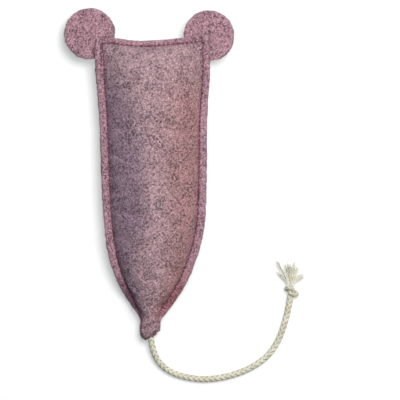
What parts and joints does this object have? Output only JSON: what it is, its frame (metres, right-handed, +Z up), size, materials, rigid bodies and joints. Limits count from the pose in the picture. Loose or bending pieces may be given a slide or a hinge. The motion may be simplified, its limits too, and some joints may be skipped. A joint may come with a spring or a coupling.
{
  "type": "stuffed mouse toy",
  "caption": "Flat-backed stuffed felt mouse with round ears in its top seam and a braided cord tail that ends in a knot and a frayed tassel.",
  "frame": {"origin": "on the surface that the mouse rests on, below the middle of the felt body and its ears, the tail not counted", "axes": "+Y along the body towards the ears, +Z up through the front panel, +X to the right seen from above with the ears away from the viewer"},
  "size_m": [0.1467, 0.2285, 0.0296],
  "materials": {
    "felt": "mauve-pink melange wool felt, matt and slightly hairy",
    "filling": "white polyester fibre",
    "thread": "dark maroon polyester sewing thread",
    "cord": "unbleached cotton, round eight-strand braid"
  },
  "bodies": {
    "body": {"front_panel": "felt", "back_panel": "felt", "filling": "filling", "ear_left_tab": "felt", "ear_right_tab": "felt", "needle_thread": "thread", "bobbin_thread": "thread", "tail_tack": "thread", "tail_root": "cord", "tail_inner_knot": "cord"},
    "ear_left": {"ear_left": "felt"},
    "ear_right": {"ear_right": "felt"},
    "tail": {"tail_cord": "cord", "tail_knot": "cord"},
    "tassel": {"tassel_yarn_1": "cord", "tassel_yarn_2": "cord", "tassel_yarn_3": "cord", "tassel_yarn_4": "cord", "tassel_yarn_5": "cord", "tassel_yarn_6": "cord", "tassel_yarn_7": "cord", "tassel_yarn_8": "cord"}
  },
  "joints": [
    {"name": "ear_left_fold", "type": "hinge", "parent": "body", "child": "ear_left", "pos_m": [-0.03597, 0.08297, 0.0122], "axis": [0.7071, 0.7071, 0], "range_deg": [-30, 85], "stiffness_Nm_per_rad": 0.0016},
    {"name": "ear_right_fold", "type": "hinge", "parent": "body", "child": "ear_right", "pos_m": [0.03757, 0.08627, 0.0122], "axis": [0.7071, -0.7071, 0], "range_deg": [-30, 85], "stiffness_Nm_per_rad": 0.0016},
    {"name": "tail_swing", "type": "hinge", "parent": "body", "child": "tail", "pos_m": [0.00132, -0.10323, 0.00593], "axis": [0, 0, 1], "range_deg": [-70, 25]},
    {"name": "tassel_swing", "type": "hinge", "parent": "tail", "child": "tassel", "pos_m": [0.0866, -0.0679, 0.0032], "axis": [0, 0, 1], "range_deg": [-25, 25]}
  ]
}
